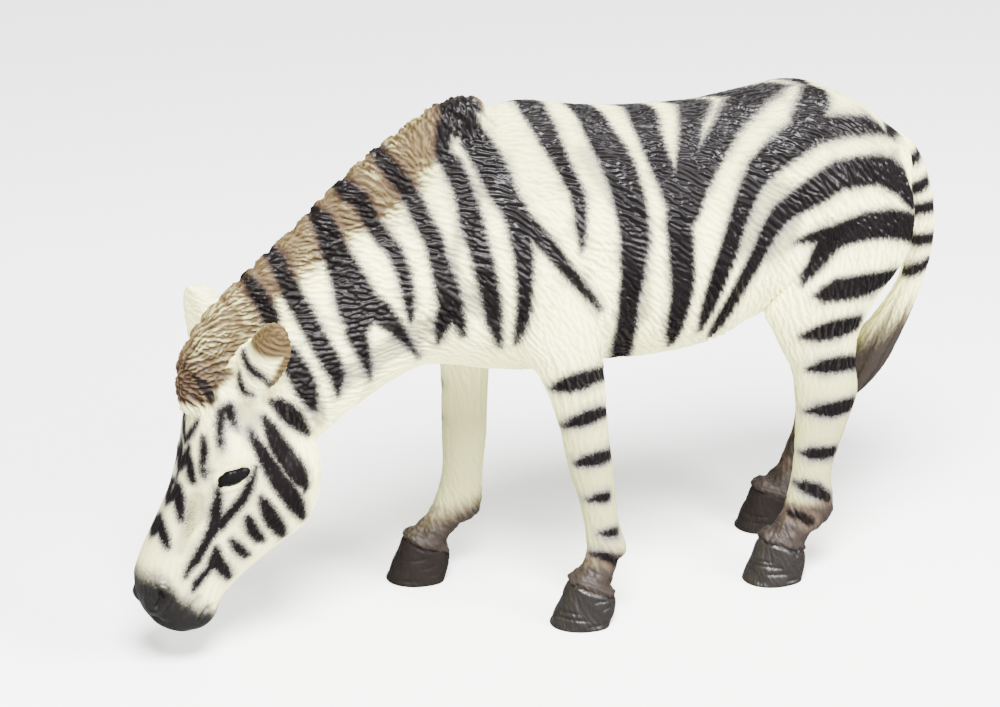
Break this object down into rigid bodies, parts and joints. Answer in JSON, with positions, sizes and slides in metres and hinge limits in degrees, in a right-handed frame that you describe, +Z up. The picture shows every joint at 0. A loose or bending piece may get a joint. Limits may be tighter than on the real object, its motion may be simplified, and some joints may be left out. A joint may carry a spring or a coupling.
{
  "type": "zebra figurine",
  "caption": "Painted plastic figurine of a grazing zebra, head lowered to just above the ground, standing on its own hooves, moulded in one piece with an upright mane and a hanging tail.",
  "frame": {"origin": "on the ground, under the middle of the figurine's outline box", "axes": "+X towards the tail, so the animal faces -X; +Y towards the animal's right side; +Z up"},
  "size_m": [0.1201, 0.0314, 0.0726],
  "materials": {
    "painted_plastic": "cream moulded plastic, satin, with hand-painted near-black stripes, tan mane and dark muzzle, tail tuft and hooves"
  },
  "bodies": {
    "root": {"zebra_figurine": "painted_plastic"}
  },
  "joints": []
}
